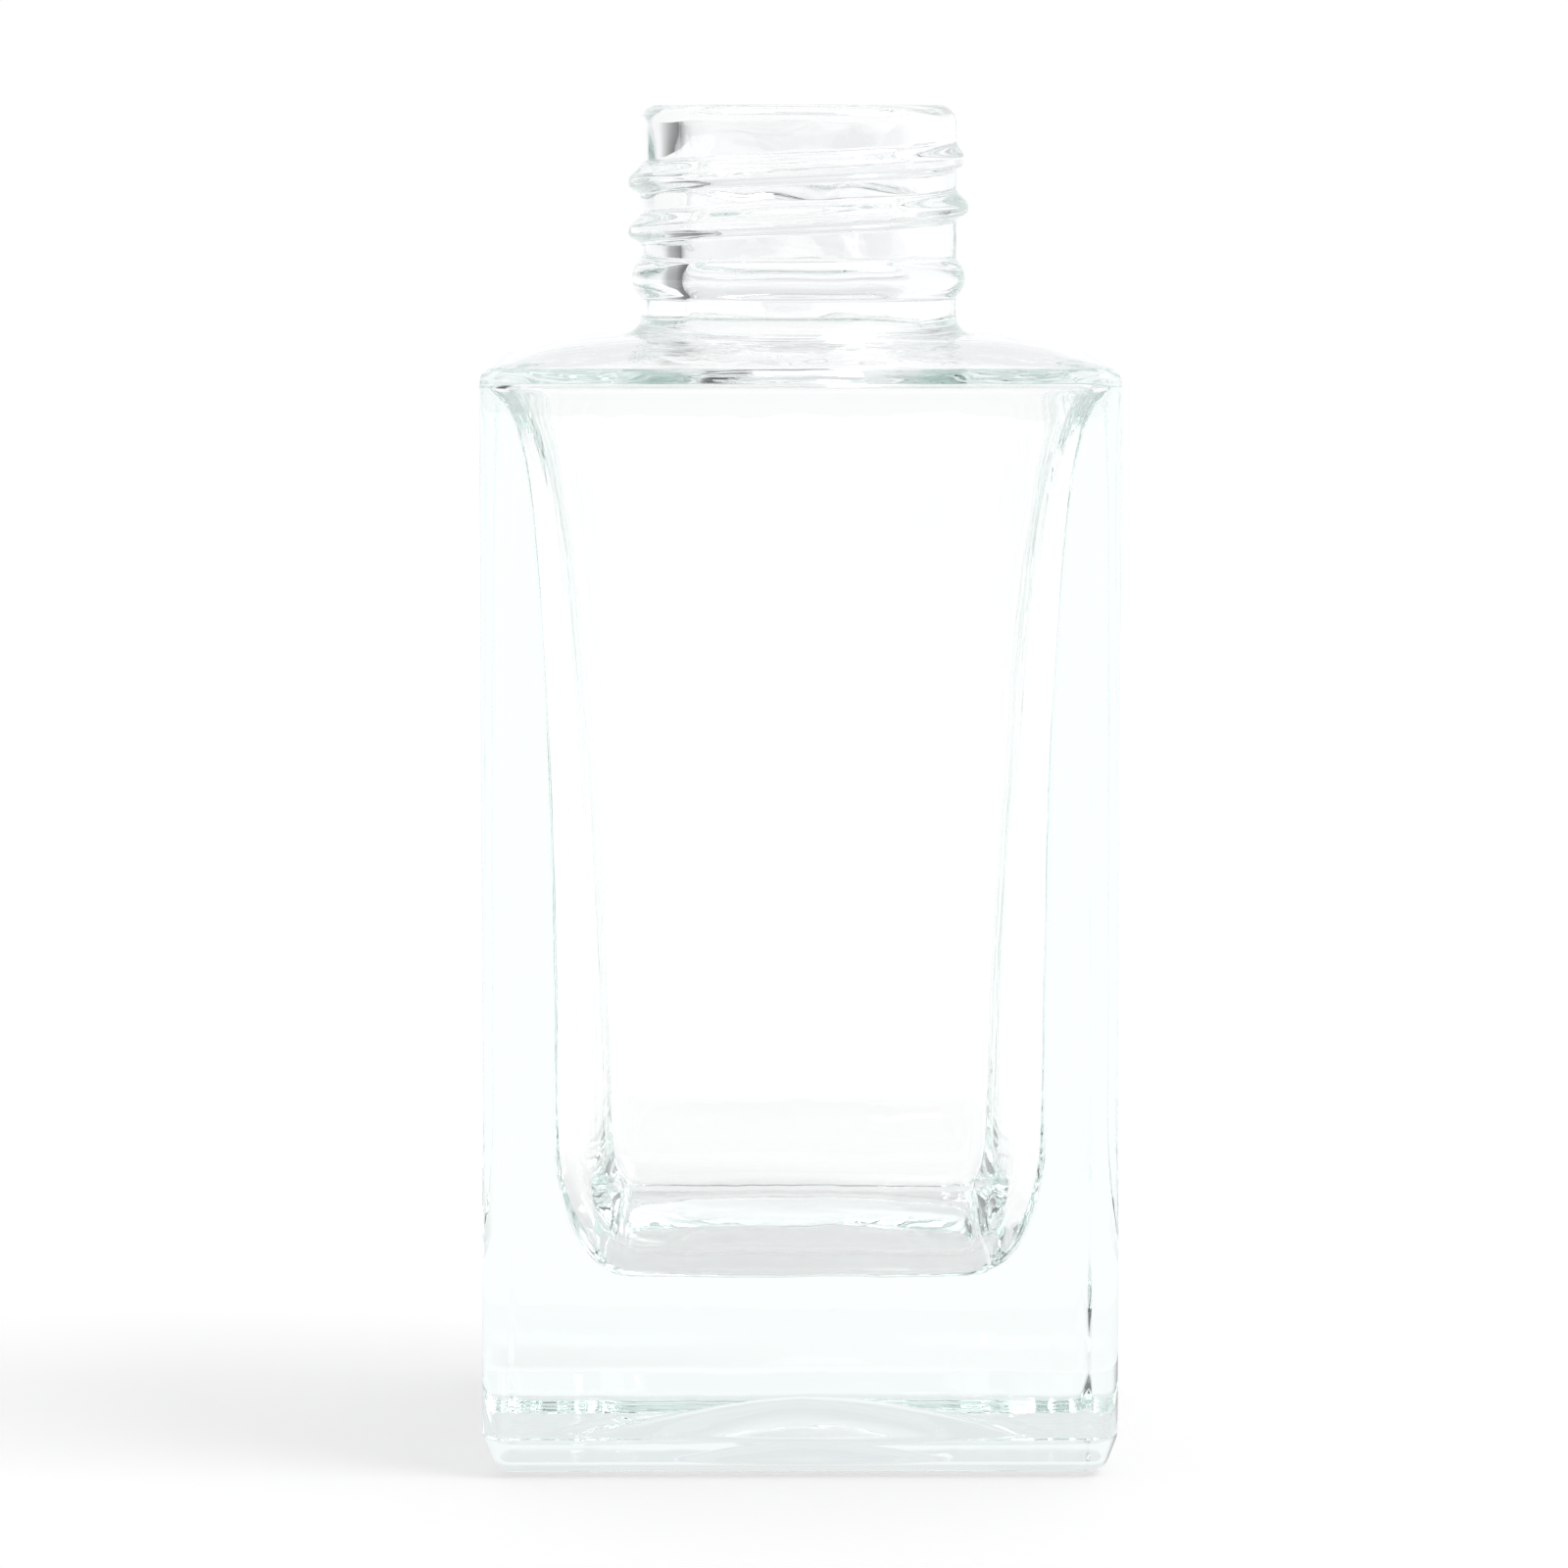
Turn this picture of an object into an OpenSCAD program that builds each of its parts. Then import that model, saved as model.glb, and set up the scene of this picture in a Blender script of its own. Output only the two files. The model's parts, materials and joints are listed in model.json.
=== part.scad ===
// Square clear glass bottle with a continuous-thread neck, for aftershave.
// The bottle is one moulding of glass. Each module below is one zone of that moulding, and
// neighbouring zones meet face to face, so that the whole is open from its lip to its floor.
// Units are millimetres. The origin is the centre of the base, on the plane it stands on.
// +Z runs up the neck's axis, -Y is the front.

/* [Body] */
// Outside width and depth of the square body
body_w = 50; // [48:1:60]
// Height of the shoulder's outer edge above the plane the bottle stands on
shoulder_z = 87; // [80:1:110]
// Radius of the upright corners and the heel
edge_r = 2.2; // [1.5:0.1:3]
// Radius of the shoulder's outer edge
shoulder_edge_r = 1.2; // [0.8:0.1:1.4]
// How far the shoulder rises from its edge to the foot of the neck
shoulder_rise = 2; // [1.5:0.1:4]

/* [Base] */
// Thickness of the solid glass base, from the standing plane to the cavity's floor
base_t = 14.8; // [10:0.2:20]
// Radius of the round hollow under the base
push_up_r = 18; // [14:0.5:18]
// Depth of the round hollow under the base, at its middle
push_up_h = 3.2; // [1:0.1:4]
// Height of the bearing ring that the bottle stands on
bearing_h = 0.3; // [0.2:0.1:0.6]
// Width of the bearing ring
bearing_w = 3; // [1.5:0.5:3]

/* [Cavity] */
// Thickness of the walls low down, where they meet the floor's rounding
wall_low = 5.4; // [4.8:0.1:7]
// Thickness of the walls under the shoulder
wall_high = 1; // [0.9:0.1:2.5]
// How the walls thin with height; 1 is a straight taper
wall_power = 2.5; // [1:0.1:3.5]
// Share of the thinning that comes only close under the shoulder
flare_share = 0.55; // [0:0.05:0.7]
// How close under the shoulder that share comes; higher is closer
flare_power = 20; // [8:1:30]
// How far in the rounding between the walls and the floor reaches
floor_in = 6; // [3:0.5:6]
// How far up the rounding between the walls and the floor reaches
floor_up = 11; // [4:0.5:12]
// Plan radius of the cavity's corners at its floor
corner_low = 6.2; // [6:0.1:10]
// Plan radius of the cavity's corners under the shoulder
corner_high = 1.8; // [1.6:0.1:4]
// How late the corners sharpen with height; 1 is at an even rate
corner_power = 2; // [1:0.1:3]
// Thickness of the shoulder's glass at its edge
roof_t = 1.2; // [1:0.1:3]

/* [Neck] */
// Height from the foot of the neck to the top of the lip
neck_h = 18.4; // [18:0.1:20]
// Outside radius of the plain neck
neck_r = 12.75; // [12.5:0.05:13]
// Radius of the bore
bore_r = 9.7; // [8.5:0.1:9.8]
// Radius of the flare where the neck meets the shoulder
flare_r = 1.5; // [0.5:0.1:2]
// Height of the lip zone, above the thread
lip_h = 3; // [2.6:0.1:3.2]
// Outer rounding of the lip
lip_outer_r = 1.4; // [0.8:0.1:1.5]
// Inner rounding of the lip
lip_inner_r = 0.8; // [0.4:0.1:1]
// Height of the transfer bead's middle above the foot of the neck
bead_z = 4.5; // [4:0.1:4.6]
// How far the transfer bead stands out of the neck
bead_out = 0.7; // [0.4:0.1:1]
// Height of the transfer bead's profile
bead_w = 3; // [2:0.1:3]

/* [Thread] */
// Axial distance between neighbouring turns
thread_pitch = 3.95; // [3.6:0.05:4.1]
// Turns from end to end
thread_turns = 1.64; // [1:0.02:1.64]
// How far the thread stands out of the neck
thread_out = 0.95; // [0.6:0.05:1.2]
// Depth of the thread's upper end below the top of the lip
thread_top = 4.2; // [3.8:0.1:4.2]
// Angle of the thread's upper end about the neck, from +X towards +Y
thread_start = 12; // [-180:1:180]

/* [Hidden] */

$fn = 96;
// steps of a lofted ring's quarter turn, of a small and a large quarter round along a loft, of a
// long slope and of the cavity's wall
CORNER_STEPS = 8;
ROUND_STEPS = 5;
FLOOR_STEPS = 7;
SLOPE_STEPS = 8;
WALL_STEPS = 12;
// steps of a full turn of the thread
THREAD_STEPS = 72;
// by how much a cutting shape runs past the face that it cuts
PAST = 1;
// how much of the floor rounding's inset the cavity's plan corners lose as they turn under
CORNER_INSET = 0.7;

GLASS = [0.85, 0.93, 0.90];
GLASS_PALE = [0.92, 0.97, 0.95];
GLASS_EDGE = [0.70, 0.82, 0.78];

half_w = body_w / 2;
neck_z = shoulder_z + shoulder_rise;
top_z = neck_z + neck_h;
lip_z = top_z - lip_h;
roof_z = shoulder_z - roof_t;
// the shoulder zone starts where the wall is still plain, below the cavity's upper rounding
roof_r = 1;
shoulder_base_z = roof_z - roof_r - 1;
// the throat widens from the bore into the cavity
throat_r = 1.2;
foot_r = neck_r + flare_r;

// ---- shared shapes ----

module rounded_square(half, r) {
    flat = 2 * (half - r);
    square([2 * half, flat], center = true);
    square([flat, 2 * half], center = true);
    for (x = [-1, 1], y = [-1, 1])
        translate([x * flat / 2, y * flat / 2]) circle(r);
}

// One ring of a loft, anticlockwise from +X: a square of half width a with corners of radius c.
// With c equal to a the ring is a circle.
function ring(a, c, z) = [
    for (q = [0:3], i = [0:CORNER_STEPS])
        let (t = 90 * (q + i / CORNER_STEPS),
             cx = (a - c) * (q == 0 || q == 3 ? 1 : -1),
             cy = (a - c) * (q < 2 ? 1 : -1))
        [cx + c * cos(t), cy + c * sin(t), z]
];

// A closed solid through rings of [half width, corner radius, height], from the lowest up.
module loft(rings) {
    n = 4 * (CORNER_STEPS + 1);
    last = len(rings) - 1;
    points = [for (r = rings) each ring(r[0], r[1], r[2])];
    sides = [
        for (k = [0:last - 1], i = [0:n - 1])
            let (low = k * n + i, low_next = k * n + (i + 1) % n)
            each [[low, low + n, low_next + n], [low, low_next + n, low_next]]
    ];
    bottom = [for (i = [0:n - 1]) i];
    top = [for (i = [n - 1:-1:0]) last * n + i];
    polyhedron(points, concat([bottom], sides, [top]));
}

function mix(a, b, t) = a + (b - a) * t;

// ---- cavity ----

function cavity_share(z) = max(0, min(1, (z - base_t) / (roof_z - base_t)));
function cavity_thinned(s) = mix(pow(s, wall_power), pow(s, flare_power), flare_share);
function cavity_half(z) = half_w - mix(wall_low, wall_high, cavity_thinned(cavity_share(z)));
function cavity_corner(z) = mix(corner_low, corner_high, pow(cavity_share(z), corner_power));

function floor_rings() = [
    for (i = [0:FLOOR_STEPS])
        let (t = 90 * i / FLOOR_STEPS,
             z = base_t + floor_up * (1 - cos(t)),
             inset = floor_in * (1 - sin(t)))
        [cavity_half(z) - inset, cavity_corner(z) - inset * CORNER_INSET, z]
];

// The rings stand closer together towards the shoulder, where the wall thins faster.
function wall_rings() = [
    for (i = [1:WALL_STEPS])
        let (left = 1 - i / WALL_STEPS,
             z = mix(base_t + floor_up, roof_z - roof_r, 1 - left * left))
        [cavity_half(z), cavity_corner(z), z]
];

function roof_edge_rings() = [
    for (i = [1:ROUND_STEPS])
        let (t = 90 * i / ROUND_STEPS,
             z = roof_z - roof_r * (1 - sin(t)))
        [cavity_half(z) - roof_r * (1 - cos(t)), cavity_corner(z), z]
];

// Height of the shoulder's upper side where its section has half width a.
rise_half = half_w - shoulder_edge_r;
function rise_share(a) = max(0, min(1, (rise_half - a) / (rise_half - foot_r)));
function shoulder_top(a) = mix(shoulder_z, neck_z, sin(90 * rise_share(a)));
// Plan corner radius of the shoulder's section of half width a.
function shoulder_corner(a) = mix(edge_r - shoulder_edge_r, a, rise_share(a));

// Under the shoulder the section turns from the cavity's square into the throat's circle along
// with the outside, and the glass thins gently towards the throat.
throat_z = neck_z - throat_r;
roof_half = half_w - wall_high - roof_r;
// share of the roof, next to the walls, over which its corners take on the walls' own radius
roof_turn = 0.2;
throat_half = bore_r + throat_r;
function roof_rings() = [
    for (i = [1:SLOPE_STEPS])
        let (s = i / SLOPE_STEPS,
             a = mix(roof_half, throat_half, s),
             t = mix(shoulder_top(roof_half) - roof_z, throat_r, s))
        [a, mix(corner_high, shoulder_corner(a), min(1, s / roof_turn)), shoulder_top(a) - t]
];

function throat_rings() = [
    for (i = [1:ROUND_STEPS])
        let (t = 90 * i / ROUND_STEPS, a = bore_r + throat_r * (1 - sin(t)))
        [a, a, throat_z + throat_r * (1 - cos(t))]
];

module cavity() {
    loft(concat(floor_rings(), wall_rings(), roof_edge_rings(), roof_rings(), throat_rings()));
}

// ---- zones of the moulding ----

// The solid base, with the heel's rounding and the shallow hollow under it.
module base() {
    inner = half_w - edge_r;
    heel_z = bearing_h + edge_r;
    hollow_r = (push_up_r * push_up_r + push_up_h * push_up_h) / (2 * push_up_h);
    color(GLASS_PALE)
    difference() {
        union() {
            translate([0, 0, heel_z])
                linear_extrude(base_t - heel_z) rounded_square(half_w, edge_r);
            translate([0, 0, bearing_h])
                linear_extrude(edge_r) square(2 * inner, center = true);
            for (x = [-inner, inner], y = [-inner, inner])
                translate([x, y, heel_z]) sphere(edge_r);
            for (s = [-inner, inner]) {
                translate([s, 0, heel_z])
                    rotate([90, 0, 0]) cylinder(r = edge_r, h = 2 * inner, center = true);
                translate([0, s, heel_z])
                    rotate([0, 90, 0]) cylinder(r = edge_r, h = 2 * inner, center = true);
            }
        }
        translate([0, 0, bearing_h + push_up_h - hollow_r]) sphere(hollow_r);
    }
}

// The raised ring under the base, the only part of the bottle that touches the table.
module bearing_ring() {
    color(GLASS_EDGE)
    difference() {
        cylinder(r = push_up_r + bearing_w, h = bearing_h);
        translate([0, 0, -PAST]) cylinder(r = push_up_r, h = bearing_h + 2 * PAST);
    }
}

// The four upright sides round the cavity, thick at the base and thin at the shoulder.
module body_wall() {
    color(GLASS)
    difference() {
        translate([0, 0, base_t])
            linear_extrude(shoulder_base_z - base_t) rounded_square(half_w, edge_r);
        cavity();
    }
}

// The roof of the body, rising gently from its rounded square edge to the foot of the neck.
module shoulder() {
    edge_rings = [
        for (i = [0:ROUND_STEPS])
            let (t = 90 * i / ROUND_STEPS, inset = shoulder_edge_r * (1 - cos(t)))
            [half_w - inset, edge_r - inset, shoulder_z - shoulder_edge_r * (1 - sin(t))]
    ];
    rise_rings = [
        for (i = [1:SLOPE_STEPS])
            let (a = mix(rise_half, foot_r, i / SLOPE_STEPS))
            [a, shoulder_corner(a), shoulder_top(a)]
    ];
    color(GLASS)
    difference() {
        loft(concat([[half_w, edge_r, shoulder_base_z]], edge_rings, rise_rings));
        cavity();
    }
}

// The plain neck, flared at its foot, with the true bore through it.
module neck_tube() {
    color(GLASS_PALE)
    translate([0, 0, neck_z])
    difference() {
        union() {
            cylinder(r = neck_r, h = neck_h - lip_h);
            rotate_extrude() difference() {
                square([foot_r, flare_r]);
                translate([foot_r, flare_r]) circle(flare_r);
            }
        }
        translate([0, 0, -PAST]) cylinder(r = bore_r, h = neck_h + 2 * PAST);
    }
}

// The round ring below the thread, by which the neck is held while the body is formed.
module transfer_bead() {
    bead_r = (bead_w * bead_w / 4 + bead_out * bead_out) / (2 * bead_out);
    color(GLASS_EDGE)
    translate([0, 0, neck_z + bead_z])
    rotate_extrude() difference() {
        translate([neck_r + bead_out - bead_r, 0]) circle(bead_r);
        translate([-2 * bead_r, -2 * bead_r]) square([neck_r + 2 * bead_r, 4 * bead_r]);
    }
}

// The right-hand thread: a steep flank below the crest, a long slope above it, run out at both ends.
// Its inner side is a band of flats, each touching the neck's cylinder along its middle.
module thread() {
    steps = round(THREAD_STEPS * thread_turns);
    turned = 360 * thread_turns;
    wall_r = neck_r / cos(180 / THREAD_STEPS);
    // angle over which each end runs out, and the share of the height left at its tip
    run_out = 30;
    tip_share = 0.1;
    // extent of the section below and above the crest, and half the width of the crest
    lower = 0.9;
    upper = 1.6;
    crest = 0.25;
    // the section where it stands out by that much: [radius, height above the crest]
    function section(out) = [
        [wall_r, -lower],
        [wall_r + out, -crest],
        [wall_r + out, crest],
        [wall_r, upper]
    ];
    function grown(a) = thread_out * min(1, tip_share + min(a, turned - a) / run_out);
    points = [
        for (k = [0:steps])
            let (a = turned * k / steps,
                 t = thread_start - a,
                 z = top_z - thread_top - thread_pitch * a / 360)
            for (p = section(grown(a))) [p[0] * cos(t), p[0] * sin(t), z + p[1]]
    ];
    n = len(section(0));
    sides = [
        for (k = [0:steps - 1], i = [0:n - 1])
            let (here = k * n + i, next = k * n + (i + 1) % n)
            each [[here, here + n, next + n], [here, next + n, next]]
    ];
    first_end = [for (i = [0:n - 1]) i];
    last_end = [for (i = [n - 1:-1:0]) steps * n + i];
    color(GLASS_EDGE)
    polyhedron(points, concat([first_end], sides, [last_end]));
}

// The rounded lip, with a flat land on top for a closure's liner.
module lip() {
    color(GLASS_EDGE)
    translate([0, 0, lip_z])
    rotate_extrude() {
        outer_x = neck_r - lip_outer_r;
        inner_x = bore_r + lip_inner_r;
        translate([bore_r, 0]) square([neck_r - bore_r, lip_h - lip_outer_r]);
        translate([inner_x, 0]) square([outer_x - inner_x, lip_h]);
        translate([bore_r, 0]) square([lip_inner_r, lip_h - lip_inner_r]);
        translate([inner_x, lip_h - lip_inner_r]) circle(lip_inner_r);
        translate([outer_x, lip_h - lip_outer_r]) circle(lip_outer_r);
    }
}

base();
bearing_ring();
body_wall();
shoulder();
neck_tube();
transfer_bead();
thread();
lip();
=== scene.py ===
"""The looks of a square clear glass aftershave bottle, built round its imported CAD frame.

The CAD holds the moulding as eight zones. Here the bottle is one continuous closed skin of glass
that stands for all of them, because light has to cross from zone to zone with no surface between.
Outlines are worked out in millimetres and built in metres, in the CAD's frame: +Z up, -Y the front."""

import json
import math

import bpy
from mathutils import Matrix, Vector, noise


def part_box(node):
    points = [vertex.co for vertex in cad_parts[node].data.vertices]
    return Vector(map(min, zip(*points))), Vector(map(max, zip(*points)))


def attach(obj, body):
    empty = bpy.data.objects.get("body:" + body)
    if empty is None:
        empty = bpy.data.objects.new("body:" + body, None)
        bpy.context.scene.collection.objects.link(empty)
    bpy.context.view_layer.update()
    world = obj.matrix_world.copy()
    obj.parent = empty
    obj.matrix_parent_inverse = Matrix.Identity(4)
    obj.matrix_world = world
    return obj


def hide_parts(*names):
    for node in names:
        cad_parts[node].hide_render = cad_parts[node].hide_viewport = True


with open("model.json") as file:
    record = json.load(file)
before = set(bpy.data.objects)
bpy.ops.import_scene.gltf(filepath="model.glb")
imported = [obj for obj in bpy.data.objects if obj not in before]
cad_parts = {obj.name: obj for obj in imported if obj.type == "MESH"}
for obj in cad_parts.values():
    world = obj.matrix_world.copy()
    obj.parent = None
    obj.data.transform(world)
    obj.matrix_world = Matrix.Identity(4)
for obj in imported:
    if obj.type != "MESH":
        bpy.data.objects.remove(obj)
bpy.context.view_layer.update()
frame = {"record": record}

MM = 0.001
QUARTER = math.pi / 2


# ---- sizes in mm, from the frame where it holds them ----

def box_mm(node):
    """Lowest and highest corner of a CAD node, in millimetres."""
    low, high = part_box(node)
    return [v / MM for v in low], [v / MM for v in high]


def mount(name):
    """A mount's own entry in the part's record."""
    return next(m for m in frame["record"]["mounts"] if m["name"] == name)


BASE_HIGH = box_mm("base")[1]
RING_HIGH = box_mm("bearing_ring")[1]
NECK_LOW, NECK_HIGH = box_mm("neck_tube")
BEAD_LOW, BEAD_HIGH = box_mm("transfer_bead")
LIP_HIGH = box_mm("lip")[1]

HALF_W = BASE_HIGH[0]
FLOOR_Z = BASE_HIGH[2]
BEARING_H = RING_HIGH[2]
RING_R = RING_HIGH[0]
NECK_Z = NECK_LOW[2]
FOOT_R = NECK_HIGH[0]
NECK_R = LIP_HIGH[0]
BORE_R = mount("neck_bore")["dims"]["r_mm"]
TOP_Z = LIP_HIGH[2]
FLARE_R = FOOT_R - NECK_R
BEAD_Z = (BEAD_LOW[2] + BEAD_HIGH[2]) / 2
BEAD_OUT = BEAD_HIGH[0] - NECK_R
BEAD_W = BEAD_HIGH[2] - BEAD_LOW[2]

# these repeat the CAD's own dimensions: first the outside
EDGE_R = 2.2
SHOULDER_EDGE_R = 1.2
SHOULDER_RISE = 2.0
SHOULDER_Z = NECK_Z - SHOULDER_RISE
PUSH_UP_R = 18.0
PUSH_UP_H = 3.2
LIP_OUTER_R = 1.4
LIP_INNER_R = 0.8
THREAD_OUT = 0.95
THREAD_PITCH = 3.95
THREAD_TURNS = 1.64
THREAD_START = 12.0
THREAD_TOP = 4.2
THREAD_LOWER = 0.9
THREAD_UPPER = 1.6
THREAD_CREST = 0.25
THREAD_RUN_OUT = 30.0
# then the cavity
WALL_LOW = 5.4
WALL_HIGH = 1.0
WALL_POWER = 2.5
FLARE_SHARE = 0.55
FLARE_POWER = 20.0
FLOOR_IN = 6.0
FLOOR_UP = 11.0
CORNER_LOW = 6.2
CORNER_HIGH = 1.8
CORNER_POWER = 2.0
CORNER_INSET = 0.7
ROOF_T = 1.2
ROOF_Z = SHOULDER_Z - ROOF_T
ROOF_R = 1.0
ROOF_TURN = 0.2
THROAT_R = 1.2

# these are finer than the CAD: the heel has a seam, a slope of so many degrees and a turn under
HEEL_UP = 3.0
HEEL_SLOPE = math.radians(21.0)
HEEL_R = 1.6
# the smallest corner that the heel and the underside's flat come down to
CORNER_MIN = 0.3
# 2 would make the hollow a plain bowl, and less makes its middle steeper
PUSH_UP_POWER = 1.6
# widths of the bearing ring's two soft rims
RING_RIM_IN = 0.8
RING_RIM_OUT = 1.6


def mix(a, b, t):
    return a + (b - a) * t


def smooth(t):
    t = max(0.0, min(1.0, t))
    return t * t * (3 - 2 * t)


def versine(t):
    """1 less the cosine of a share t of a quarter turn."""
    return 1 - math.cos(t * QUARTER)


def coversine(t):
    """1 less the sine of a share t of a quarter turn."""
    return 1 - math.sin(t * QUARTER)


def steps(n, first=0):
    """Shares from 0 to 1 in n steps, from the one numbered first."""
    return [i / n for i in range(first, n + 1)]


# ---- camera ----

TARGET = Vector((-1.16, 0.0, 52.5)) * MM
CAMERA_DISTANCE = 580 * MM
CAMERA_PITCH = math.radians(5.2)
CAMERA_YAW = math.radians(0.3)
CAMERA_LENS = 164.0
CAMERA_SENSOR = 36.0


def add_camera():
    data = bpy.data.cameras.new("camera")
    data.lens = CAMERA_LENS
    data.sensor_width = CAMERA_SENSOR
    camera = bpy.data.objects.new("camera", data)
    bpy.context.scene.collection.objects.link(camera)
    aim = Vector((
        math.sin(CAMERA_YAW) * math.cos(CAMERA_PITCH),
        math.cos(CAMERA_YAW) * math.cos(CAMERA_PITCH),
        -math.sin(CAMERA_PITCH),
    ))
    camera.location = TARGET - CAMERA_DISTANCE * aim
    camera.rotation_euler = aim.to_track_quat("-Z", "Y").to_euler()
    bpy.context.scene.camera = camera


# ---- the skin's rings: each point is a distance from the axis, an angle and a height ----

FLAT_STEPS = 44
CORNER_STEPS = 24
# the angle either side of a diagonal that the body's own small corners take up
CORNER_SPREAD = 2.9


def ring_angles():
    """Directions round the axis, in degrees, close together where the body's corners are."""
    flat = 90 - 2 * CORNER_SPREAD
    quarter = [-flat / 2 + flat * i / FLAT_STEPS for i in range(FLAT_STEPS)]
    quarter += [flat / 2 + 2 * CORNER_SPREAD * i / CORNER_STEPS for i in range(CORNER_STEPS)]
    return [90 * q + a for q in range(4) for a in quarter]


ANGLES = ring_angles()


def square_radius(angle, half, corner):
    """Distance from the axis to a rounded square of that half width and corner radius."""
    off = abs((angle + 45) % 90 - 45)
    rad = math.radians(off)
    if half * math.tan(rad) <= half - corner:
        return half / math.cos(rad)
    reach = (half - corner) * math.sqrt(2)
    turn = math.radians(45 - off)
    return reach * math.cos(turn) + math.sqrt(max(0.0, corner ** 2 - (reach * math.sin(turn)) ** 2))


def square_ring(half, corner, z):
    return [(square_radius(a, half, corner), a, z) for a in ANGLES]


def round_ring(radius, z):
    return [(radius, a, z) for a in ANGLES]


# ---- outside, from the middle of the underside up to the lip ----

DOME_STEPS = 12
RIM_STEPS = 5
LAND_STEPS = 3
UNDERSIDE_STEPS = 6
HEEL_STEPS = 8
SLOPE_STEPS = 6
SIDE_STEPS = 26
EDGE_STEPS = 10
RISE_STEPS = 14
FLARE_STEPS = 6
NECK_STEP = 0.16
LIP_STEPS = 8
# two rings just above the seam, which keep it a crisp line
SEAM_SHARES = [0.002, 0.004]


def underside_rings():
    """The shallow hollow, the bearing ring with its soft rims, and the flat out to the heel."""
    hollow = [
        round_ring(PUSH_UP_R * s, BEARING_H + PUSH_UP_H * (1 - s ** PUSH_UP_POWER))
        for s in steps(DOME_STEPS, 1)
    ]
    land_in = PUSH_UP_R + RING_RIM_IN
    land_out = RING_R - RING_RIM_OUT
    inner_rim = [
        round_ring(PUSH_UP_R + RING_RIM_IN * s, BEARING_H * (1 - smooth(s)))
        for s in steps(RIM_STEPS, 1)
    ]
    land = [round_ring(mix(land_in, land_out, s), 0.0) for s in steps(LAND_STEPS, 1)]
    outer_rim = [
        round_ring(land_out + RING_RIM_OUT * s, BEARING_H * smooth(s))
        for s in steps(RIM_STEPS, 1)
    ]
    flat_half = HALF_W - heel_inset(1.0)
    flat = [
        square_ring(mix(RING_R, flat_half, s), mix(RING_R, CORNER_MIN, smooth(s)), BEARING_H)
        for s in steps(UNDERSIDE_STEPS, 1)
    ]
    return hollow + inner_rim + land + outer_rim + flat


def heel_inset(turned):
    """How far the heel is in from the side: 0 is where its slope ends, 1 where the turn under does."""
    straight = HEEL_UP - HEEL_R * (1 - math.sin(HEEL_SLOPE))
    angle = mix(HEEL_SLOPE, QUARTER, turned)
    return straight * math.tan(HEEL_SLOPE) + HEEL_R * (math.cos(HEEL_SLOPE) - math.cos(angle))


def heel_ring(inset, z):
    return square_ring(HALF_W - inset, max(CORNER_MIN, EDGE_R - inset), z)


def side_rings():
    """The heel's rounding and slope, and the four upright sides, up to the shoulder's edge."""
    turn = []
    for t in steps(HEEL_STEPS, 1):
        z = BEARING_H + HEEL_R * (1 - math.sin(mix(QUARTER, HEEL_SLOPE, t)))
        turn.append(heel_ring(heel_inset(1 - t), z))
    turn_z = turn[-1][0][2]
    turn_inset = heel_inset(0.0)
    seam_z = BEARING_H + HEEL_UP
    slope = [
        heel_ring(turn_inset * (1 - s), mix(turn_z, seam_z, s)) for s in steps(SLOPE_STEPS, 1)
    ]
    edge_z = SHOULDER_Z - SHOULDER_EDGE_R
    sides = [
        square_ring(HALF_W, EDGE_R, mix(seam_z, edge_z, s))
        for s in SEAM_SHARES + steps(SIDE_STEPS, 1)
    ]
    return turn + slope + sides


def shoulder_share(half):
    """How far in the shoulder's section of that half width is, from its edge to the neck's foot."""
    share = (HALF_W - SHOULDER_EDGE_R - half) / (HALF_W - SHOULDER_EDGE_R - FOOT_R)
    return max(0.0, min(1.0, share))


def shoulder_top(half):
    """Height of the shoulder's upper side where its section has that half width."""
    return mix(SHOULDER_Z, NECK_Z, math.sin(shoulder_share(half) * QUARTER))


def shoulder_corner(half):
    """Plan corner radius of the shoulder's section of that half width."""
    return mix(EDGE_R - SHOULDER_EDGE_R, half, shoulder_share(half))


def shoulder_rings():
    """The rounding at the top of the sides, and the rise to the neck's foot."""
    edge = []
    for t in steps(EDGE_STEPS, 1):
        inset = SHOULDER_EDGE_R * versine(t)
        z = SHOULDER_Z - SHOULDER_EDGE_R * coversine(t)
        edge.append(square_ring(HALF_W - inset, EDGE_R - inset, z))
    rise = []
    for s in steps(RISE_STEPS, 1):
        half = mix(HALF_W - SHOULDER_EDGE_R, FOOT_R, s)
        rise.append(square_ring(half, shoulder_corner(half), shoulder_top(half)))
    return edge + rise


def bead_height(z):
    """How far the transfer bead stands out of the neck at that height."""
    radius = (BEAD_W ** 2 / 4 + BEAD_OUT ** 2) / (2 * BEAD_OUT)
    off = z - BEAD_Z
    if abs(off) >= BEAD_W / 2:
        return 0.0
    return math.sqrt(radius ** 2 - off ** 2) - radius + BEAD_OUT


def thread_height(angle, z):
    """How far the right-hand thread stands out of the neck there."""
    turned = 360 * THREAD_TURNS
    run = (THREAD_START - angle) % 360
    best = 0.0
    while run <= turned:
        off = z - (TOP_Z - THREAD_TOP - THREAD_PITCH * run / 360)
        reach = THREAD_UPPER if off > 0 else THREAD_LOWER
        slope = smooth((reach - abs(off)) / (reach - THREAD_CREST))
        grown = smooth(min(run, turned - run) / THREAD_RUN_OUT)
        best = max(best, THREAD_OUT * slope * grown)
        run += 360
    return best


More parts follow.
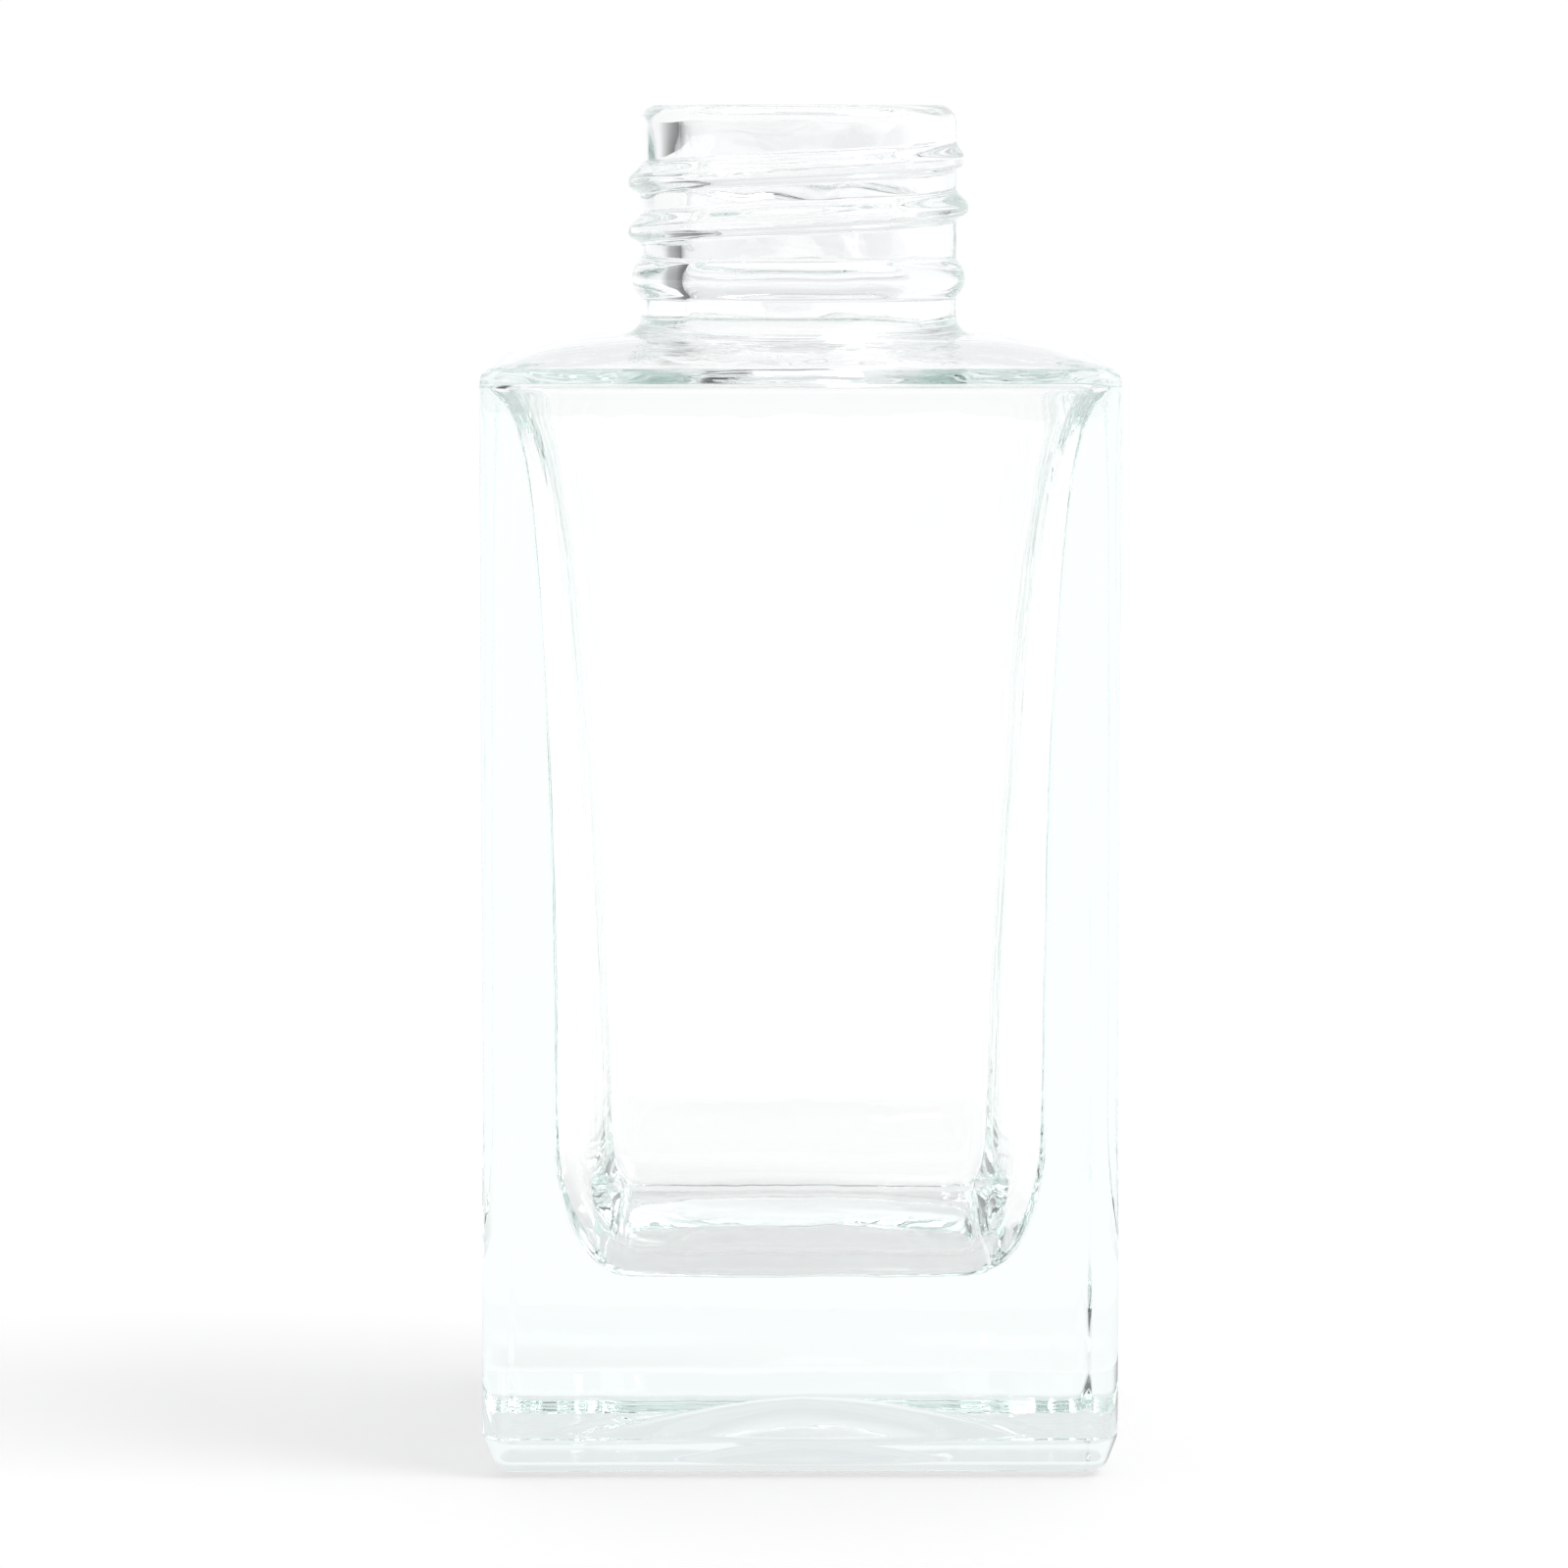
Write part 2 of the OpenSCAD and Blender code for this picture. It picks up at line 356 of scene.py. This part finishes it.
def neck_rings():
    """The flare, then the neck with its bead and thread, up to the lip's outer rounding."""
    flare = [
        round_ring(NECK_R + FLARE_R * coversine(t), NECK_Z + FLARE_R * versine(t))
        for t in steps(FLARE_STEPS, 1)
    ]
    low = NECK_Z + FLARE_R
    high = TOP_Z - LIP_OUTER_R
    count = round((high - low) / NECK_STEP)
    tube = []
    for s in steps(count, 1):
        z = mix(low, high, s)
        tube.append([(NECK_R + bead_height(z) + thread_height(a, z), a, z) for a in ANGLES])
    return flare + tube


def lip_rings():
    """The lip's outer rounding, its flat land and its inner rounding."""
    outer = [
        round_ring(NECK_R - LIP_OUTER_R * versine(t), TOP_Z - LIP_OUTER_R * coversine(t))
        for t in steps(LIP_STEPS, 1)
    ]
    land = [
        round_ring(mix(NECK_R - LIP_OUTER_R, BORE_R + LIP_INNER_R, s), TOP_Z)
        for s in steps(LAND_STEPS, 1)
    ]
    inner = [
        round_ring(BORE_R + LIP_INNER_R * coversine(t), TOP_Z - LIP_INNER_R * versine(t))
        for t in steps(LIP_STEPS, 1)
    ]
    return outer + land + inner


# ---- inside, from the lip down to the middle of the floor ----

BORE_STEPS = 20
THROAT_STEPS = 10
ROOF_STEPS = 12
WALL_STEPS = 64
FLOOR_STEPS = 12


def cavity_share(z):
    """How far up the cavity that height is, from its floor to its roof."""
    return max(0.0, min(1.0, (z - FLOOR_Z) / (ROOF_Z - FLOOR_Z)))


def cavity_half(z):
    """The cavity's half width, which grows as the walls get thinner upwards."""
    share = cavity_share(z)
    thinned = mix(share ** WALL_POWER, share ** FLARE_POWER, FLARE_SHARE)
    return HALF_W - mix(WALL_LOW, WALL_HIGH, thinned)


def cavity_corner(z):
    """Plan corner radius of the cavity at that height."""
    return mix(CORNER_LOW, CORNER_HIGH, cavity_share(z) ** CORNER_POWER)


def bore_rings():
    """The bore, and the throat's rounding below it."""
    bore = [round_ring(BORE_R, mix(TOP_Z - LIP_INNER_R, NECK_Z, s)) for s in steps(BORE_STEPS, 1)]
    throat_z = NECK_Z - THROAT_R
    throat = [
        round_ring(BORE_R + THROAT_R * versine(t), throat_z + THROAT_R * coversine(t))
        for t in steps(THROAT_STEPS, 1)
    ]
    return bore + throat


def roof_rings():
    """The shoulder's inner side, from the throat's circle to the walls' rounded square."""
    throat_half = BORE_R + THROAT_R
    roof_half = HALF_W - WALL_HIGH - ROOF_R
    edge_t = shoulder_top(roof_half) - ROOF_Z
    roof = []
    for s in steps(ROOF_STEPS, 1):
        half = mix(throat_half, roof_half, s)
        z = shoulder_top(half) - mix(THROAT_R, edge_t, s)
        turned = smooth((s - 1 + ROOF_TURN) / ROOF_TURN)
        roof.append(square_ring(half, mix(shoulder_corner(half), CORNER_HIGH, turned), z))
    edge = []
    for t in steps(EDGE_STEPS, 1):
        z = ROOF_Z - ROOF_R * versine(t)
        edge.append(square_ring(cavity_half(z) - ROOF_R * coversine(t), cavity_corner(z), z))
    return roof + edge


def wall_rings():
    walls = []
    for s in steps(WALL_STEPS, 1):
        z = mix(ROOF_Z - ROOF_R, FLOOR_Z + FLOOR_UP, s)
        walls.append(square_ring(cavity_half(z), cavity_corner(z), z))
    return walls


def floor_rings():
    """The wide rounding at the foot of the walls, and the floor, short of its middle."""
    foot = []
    for t in steps(FLOOR_STEPS, 1):
        z = FLOOR_Z + FLOOR_UP * coversine(t)
        inset = FLOOR_IN * versine(t)
        foot.append(square_ring(cavity_half(z) - inset, cavity_corner(z) - inset * CORNER_INSET, z))
    half = HALF_W - WALL_LOW - FLOOR_IN
    corner = CORNER_LOW - FLOOR_IN * CORNER_INSET
    floor = [
        square_ring(half * (1 - s), mix(corner, half, smooth(s)) * (1 - s), FLOOR_Z)
        for s in steps(FLOOR_STEPS, 1)[:-1]
    ]
    return foot + floor


# ---- what moulding leaves in the glass ----

# each wave's depth and size in mm, how far it is drawn out upwards, and its place in the noise:
# the inner surface, which no mould touches, has the deepest ones
WALL_WAVE = (0.22, 24.0, 2.2, 11.0)
WALL_RIPPLE = (0.035, 6.0, 3.0, 23.0)
NECK_WAVE = (0.20, 4.0, 1.6, 3.0)
FLOOR_WAVE = (0.16, 8.0, 1.0, 31.0)
OUTER_WAVE = (0.05, 10.0, 2.0, 47.0)
# within this distance of the axis the waves die out
CALM_R = 1.0
# the hollow's middle is off the axis
PUSH_UP_SHIFT = 2.6
# depth and size of the grains of the bearing ring's stippling
STIPPLE = (0.12, 0.7)


def wave(point, shape):
    """Height at a point in mm of a smooth noise that is the same in every run."""
    depth, size, stretch, place = shape
    x, y, z = point
    return depth * noise.noise(Vector((x / size + place, y / size, z / (size * stretch))))


def waved_inside(point):
    """The walls, roof and neck waved sideways, and the floor waved upwards."""
    x, y, z = point
    reach = math.hypot(x, y)
    if z > NECK_Z:
        out = wave(point, NECK_WAVE)
    else:
        out = wave(point, WALL_WAVE) + wave(point, WALL_RIPPLE)
    low = smooth(1 - (z - FLOOR_Z) / FLOOR_UP)
    lift = abs(wave(point, FLOOR_WAVE)) * low
    scale = 1 + out * (1 - low) * smooth(reach / BORE_R) / max(reach, CALM_R)
    return x * scale, y * scale, z + lift


def waved_outside(point):
    """The hollow pulled off the axis, the ring stippled upwards and the sides sunk by up to 0.1 mm."""
    x, y, z = point
    reach = math.hypot(x, y)
    if z < BEARING_H + PUSH_UP_H and reach < PUSH_UP_R:
        share = reach / PUSH_UP_R
        return x + PUSH_UP_SHIFT * (1 - share) ** 0.5 * share, y, z
    if z <= BEARING_H and reach < RING_R:
        depth, size = STIPPLE
        return x, y, z + depth * max(0.0, noise.noise(Vector((x, y, 0)) / size))
    if z > SHOULDER_Z or z < BEARING_H + HEEL_UP:
        return point
    depth = OUTER_WAVE[0]
    scale = 1 - (depth + wave(point, OUTER_WAVE)) / reach
    return x * scale, y * scale, z


# ---- the skin ----

def build_skin():
    """One closed mesh from the pole under the base, over the lip, to the pole on the cavity's floor."""
    outside = underside_rings() + side_rings() + shoulder_rings() + neck_rings() + lip_rings()
    rings = outside + bore_rings() + roof_rings() + wall_rings() + floor_rings()
    n = len(ANGLES)
    points = [Vector((0, 0, (BEARING_H + PUSH_UP_H) * MM))]
    for i, ring in enumerate(rings):
        waved = waved_outside if i < len(outside) else waved_inside
        for radius, angle, z in ring:
            rad = math.radians(angle)
            points.append(Vector(waved((radius * math.cos(rad), radius * math.sin(rad), z))) * MM)
    points.append(Vector((0, 0, FLOOR_Z * MM)))
    last = len(points) - 1
    top = last - n
    faces = []
    for j in range(n):
        k = (j + 1) % n
        faces.append((0, 1 + k, 1 + j))
        faces.append((last, top + j, top + k))
    for i in range(len(rings) - 1):
        here = 1 + i * n
        above = here + n
        for j in range(n):
            k = (j + 1) % n
            faces.append((here + j, here + k, above + k, above + j))
    mesh = bpy.data.meshes.new("bottle_glass")
    mesh.from_pydata(points, [], faces)
    mesh.update()
    mesh.shade_smooth()
    skin = bpy.data.objects.new("bottle_glass", mesh)
    bpy.context.scene.collection.objects.link(skin)
    return skin


# ---- materials ----

GLASS_IOR = 1.52
# the tint of light that has crossed the glass, and how fast it takes that tint
GLASS_TINT = (0.50, 0.86, 0.76, 1.0)
GLASS_DENSITY = 2.6
# the outer skin's faint ripple, drawn out upwards: waves to the metre, stretch and depth in metres
RIPPLE_SCALE = 170.0
RIPPLE_STRETCH = 0.35
RIPPLE_DEPTH = 0.09 * MM

WHITE = (1.0, 1.0, 1.0, 1.0)
PAPER_ROUGHNESS = 0.9
# grains of the paper to the metre
PAPER_GRAIN = 900.0
# darkest and lightest grey of the paper's grain, and the glow that stands for the lit table under it
PAPER_DARK = 0.36
PAPER_LIGHT = 0.40
TABLE_LIGHT = 0.60


def new_material(name):
    mat = bpy.data.materials.new(name)
    mat.use_nodes = True
    mat.node_tree.nodes.clear()
    return mat, mat.node_tree.nodes, mat.node_tree.links


def glass_material():
    """Clear glass with a faint ripple on its surface and a tint that grows with its thickness."""
    mat, nodes, links = new_material("clear_glass")
    out = nodes.new("ShaderNodeOutputMaterial")
    shader = nodes.new("ShaderNodeBsdfPrincipled")
    shader.inputs["Base Color"].default_value = WHITE
    shader.inputs["Roughness"].default_value = 0.0
    shader.inputs["IOR"].default_value = GLASS_IOR
    shader.inputs["Transmission Weight"].default_value = 1.0
    coords = nodes.new("ShaderNodeTexCoord")
    drawn = nodes.new("ShaderNodeMapping")
    drawn.inputs["Scale"].default_value = (1.0, 1.0, RIPPLE_STRETCH)
    ripple = nodes.new("ShaderNodeTexNoise")
    ripple.inputs["Scale"].default_value = RIPPLE_SCALE
    ripple.inputs["Detail"].default_value = 2.0
    bump = nodes.new("ShaderNodeBump")
    bump.inputs["Strength"].default_value = 1.0
    bump.inputs["Distance"].default_value = RIPPLE_DEPTH
    links.new(coords.outputs["Object"], drawn.inputs["Vector"])
    links.new(drawn.outputs[0], ripple.inputs["Vector"])
    links.new(ripple.outputs["Fac"], bump.inputs["Height"])
    links.new(bump.outputs[0], shader.inputs["Normal"])
    links.new(shader.outputs[0], out.inputs["Surface"])
    tint = nodes.new("ShaderNodeVolumeAbsorption")
    tint.inputs["Color"].default_value = GLASS_TINT
    tint.inputs["Density"].default_value = GLASS_DENSITY
    links.new(tint.outputs[0], out.inputs["Volume"])
    return mat


def paper_material():
    """White paper with a fine grain, on a lit table."""
    mat, nodes, links = new_material("paper")
    out = nodes.new("ShaderNodeOutputMaterial")
    shader = nodes.new("ShaderNodeBsdfPrincipled")
    shader.inputs["Roughness"].default_value = PAPER_ROUGHNESS
    grain = nodes.new("ShaderNodeTexNoise")
    grain.inputs["Scale"].default_value = PAPER_GRAIN
    tone = nodes.new("ShaderNodeMapRange")
    tone.inputs["To Min"].default_value = PAPER_DARK
    tone.inputs["To Max"].default_value = PAPER_LIGHT
    coords = nodes.new("ShaderNodeTexCoord")
    links.new(coords.outputs["Object"], grain.inputs["Vector"])
    links.new(grain.outputs["Fac"], tone.inputs["Value"])
    links.new(tone.outputs[0], shader.inputs["Base Color"])
    shader.inputs["Emission Color"].default_value = WHITE
    shader.inputs["Emission Strength"].default_value = TABLE_LIGHT
    links.new(shader.outputs[0], out.inputs["Surface"])
    return mat


# ---- floor and light ----

FLOOR_HALF = 4.0

ROOM_COLOUR = (0.99, 1.0, 1.01, 1.0)
# how bright the room is at the horizon, above it and in front, what the zenith adds, and the share
# of it all that is left at the left
HORIZON_LIGHT = 1.02
ROOM_LIGHT = 0.86
FRONT_LIGHT = 0.08
ZENITH_LIGHT = 0.3
LEFT_SHARE = 0.12
# where each change starts and ends: up or down, front to back and left to right, from -1 to 1
ABOVE_BAND = (0.08, 0.24)
ZENITH_BAND = (0.55, 0.90)
FRONT_BAND = (-0.65, 0.0)
LEFT_BAND = (-0.95, -0.40)

# the key light comes from high up, right and a little in front; its spread in degrees keeps shadows soft
KEY_STRENGTH = 1.5
KEY_SPREAD = 35.0
KEY_AIM = (-0.55, 0.22, -0.80)

# light turns back many times inside the walls and the shoulder before it leaves the glass
LIGHT_PATH_STEPS = 48


def add_floor():
    size = FLOOR_HALF
    corners = [(-size, -size, 0), (size, -size, 0), (size, size, 0), (-size, size, 0)]
    mesh = bpy.data.meshes.new("floor")
    mesh.from_pydata(corners, [], [(0, 1, 2, 3)])
    floor = bpy.data.objects.new("floor", mesh)
    floor.data.materials.append(paper_material())
    bpy.context.scene.collection.objects.link(floor)


def add_ramp(tree, value, band, low, high):
    """A node that goes softly from low to high as the value crosses the band."""
    ramp = tree.nodes.new("ShaderNodeMapRange")
    ramp.interpolation_type = "SMOOTHSTEP"
    ramp.inputs["From Min"].default_value = band[0]
    ramp.inputs["From Max"].default_value = band[1]
    ramp.inputs["To Min"].default_value = low
    ramp.inputs["To Max"].default_value = high
    tree.links.new(value, ramp.inputs["Value"])
    return ramp


def add_math(tree, operation, first, second):
    """A node that joins two values."""
    whole = tree.nodes.new("ShaderNodeMath")
    whole.operation = operation
    tree.links.new(first.outputs[0], whole.inputs[0])
    tree.links.new(second.outputs[0], whole.inputs[1])
    return whole


def add_world():
    """A bright room: white at the horizon, a shade greyer above, dark in front and dim at the left."""
    world = bpy.data.worlds.new("room")
    bpy.context.scene.world = world
    world.use_nodes = True
    tree = world.node_tree
    tree.nodes.clear()
    out = tree.nodes.new("ShaderNodeOutputWorld")
    back = tree.nodes.new("ShaderNodeBackground")
    back.inputs["Color"].default_value = ROOM_COLOUR
    coords = tree.nodes.new("ShaderNodeTexCoord")
    parts = tree.nodes.new("ShaderNodeSeparateXYZ")
    tree.links.new(coords.outputs["Generated"], parts.inputs[0])
    x, y, z = parts.outputs
    above = add_ramp(tree, z, ABOVE_BAND, HORIZON_LIGHT, ROOM_LIGHT)
    # towards the front the light falls off from what it is at that height
    around = add_ramp(tree, y, FRONT_BAND, FRONT_LIGHT, 1.0)
    tree.links.new(above.outputs[0], around.inputs["To Max"])
    zenith = add_ramp(tree, z, ZENITH_BAND, 0.0, ZENITH_LIGHT)
    left = add_ramp(tree, x, LEFT_BAND, LEFT_SHARE, 1.0)
    whole = add_math(tree, "ADD", around, zenith)
    dimmed = add_math(tree, "MULTIPLY", whole, left)
    tree.links.new(dimmed.outputs[0], back.inputs["Strength"])
    tree.links.new(back.outputs[0], out.inputs["Surface"])


def add_key_light():
    """A far, wide, soft light, so that the floor is equally bright everywhere."""
    data = bpy.data.lights.new("key", "SUN")
    data.energy = KEY_STRENGTH
    data.angle = math.radians(KEY_SPREAD)
    light = bpy.data.objects.new("key", data)
    bpy.context.scene.collection.objects.link(light)
    light.rotation_euler = Vector(KEY_AIM).to_track_quat("-Z", "Y").to_euler()


def set_view():
    """Colours as they come, and light paths long enough for thick glass."""
    scene = bpy.context.scene
    scene.view_settings.view_transform = "Standard"
    scene.cycles.max_bounces = LIGHT_PATH_STEPS
    scene.cycles.transmission_bounces = LIGHT_PATH_STEPS
    scene.cycles.glossy_bounces = LIGHT_PATH_STEPS


add_camera()
skin = build_skin()
skin.data.materials.append(glass_material())
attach(skin, "root")
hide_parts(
    "base", "bearing_ring", "body_wall", "shoulder", "neck_tube", "transfer_bead", "thread", "lip")
add_floor()
add_world()
add_key_light()
set_view()
